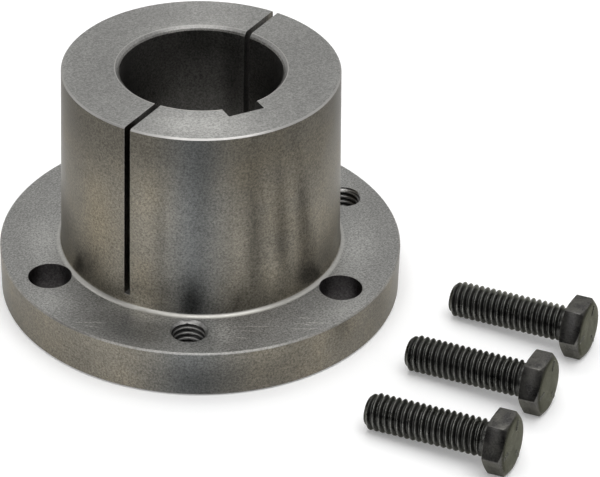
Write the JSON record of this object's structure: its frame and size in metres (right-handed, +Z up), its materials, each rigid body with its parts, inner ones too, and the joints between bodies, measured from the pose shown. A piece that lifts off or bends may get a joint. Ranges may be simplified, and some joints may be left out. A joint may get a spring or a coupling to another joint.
{
  "type": "quick disconnect bushing",
  "caption": "Flanged taper bushing with a keyed bore, a barrel slit through both walls, three clear and two tapped flange holes, and its loose hex cap screws.",
  "frame": {"origin": "centre of the bolt circle and of the bore, at the flange's back face", "axes": "+Z up the bore towards the small end of the barrel; the keyway points along -Y; one tapped hole lies on +X"},
  "size_m": [0.1316, 0.1621, 0.0635],
  "materials": {
    "bushing_iron": "machined all over, uncoated, with a fine open grain",
    "screw_steel": "black oxide, slightly oily"
  },
  "bodies": {
    "root": {"bushing_body": "bushing_iron", "cap_screw_1": "screw_steel", "cap_screw_2": "screw_steel", "cap_screw_3": "screw_steel"}
  },
  "joints": []
}
